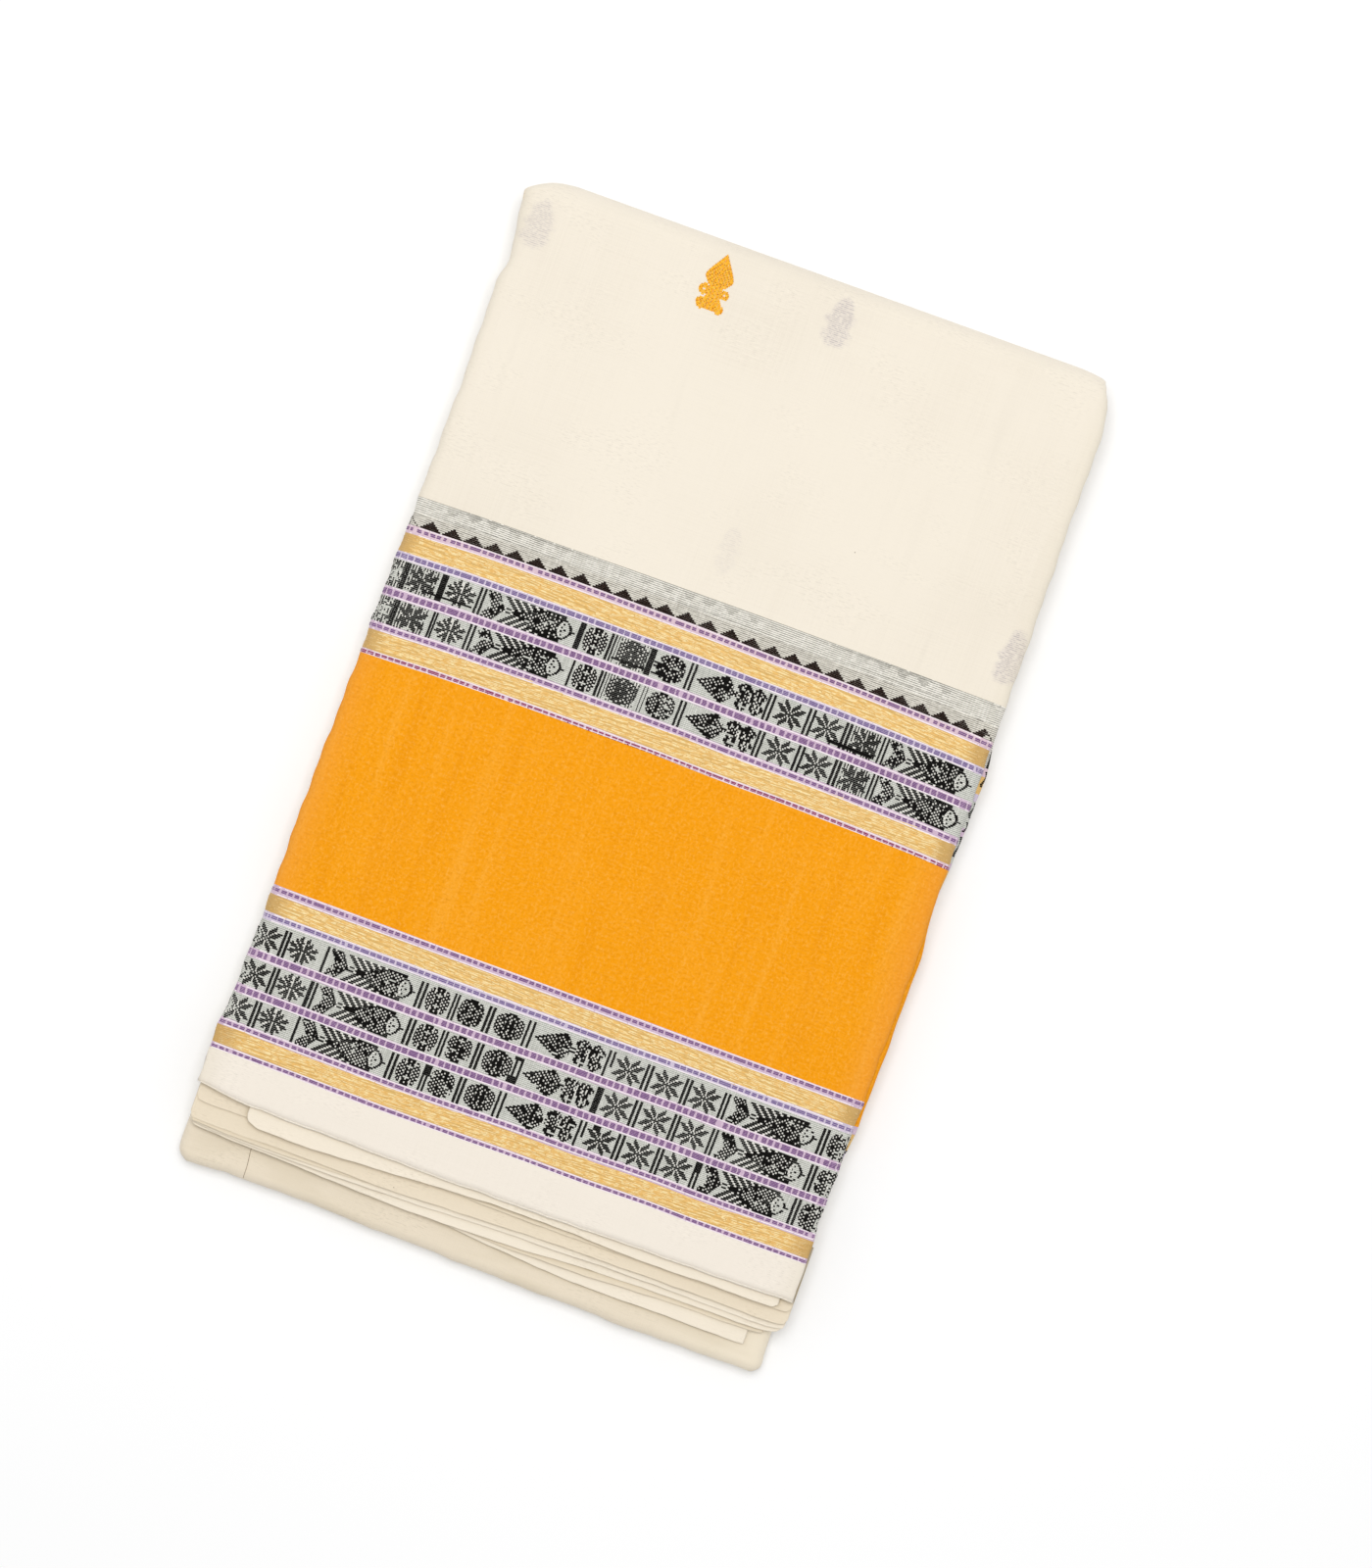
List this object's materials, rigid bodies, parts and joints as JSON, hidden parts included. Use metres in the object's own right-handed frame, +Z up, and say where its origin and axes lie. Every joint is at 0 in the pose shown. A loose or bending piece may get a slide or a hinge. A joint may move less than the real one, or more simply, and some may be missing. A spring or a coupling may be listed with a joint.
{
  "type": "folded saree",
  "caption": "Cotton saree folded into a flat packet for the shelf, its woven border on the front, with staggered selvedge ends at the bottom and a rolled fold at the top.",
  "frame": {"origin": "centre of the underside, on the surface that the folded saree lies on", "axes": "+Z up out of the front face, +Y along the packet towards the top fold, +X across it to the right as seen from the front"},
  "size_m": [0.3512, 0.5832, 0.0266],
  "materials": {
    "cream_cotton": "unbleached plain-weave handloom cotton, matt",
    "border_cotton": "orange plain-weave cotton with gold-thread, black and purple woven bands",
    "selvedge_cotton": "unbleached plain-weave cotton, seen at folds and selvedges",
    "zari_gold": "gold-coloured metal thread, fine weft lines, soft metallic sheen",
    "black_thread": "black mercerised cotton, woven motifs and temple points",
    "purple_thread": "purple art-silk dashes",
    "orange_thread": "orange embroidered-look extra weft of the small leaf motif"
  },
  "bodies": {
    "root": {"front_body": "cream_cotton", "front_border": "border_cotton", "right_fold": "border_cotton", "leaf_2": "selvedge_cotton", "leaf_3": "selvedge_cotton", "leaf_4": "selvedge_cotton", "leaf_5": "selvedge_cotton", "bottom_turn": "selvedge_cotton", "back_leaf": "cream_cotton", "hidden_layers": "selvedge_cotton"}
  },
  "joints": []
}
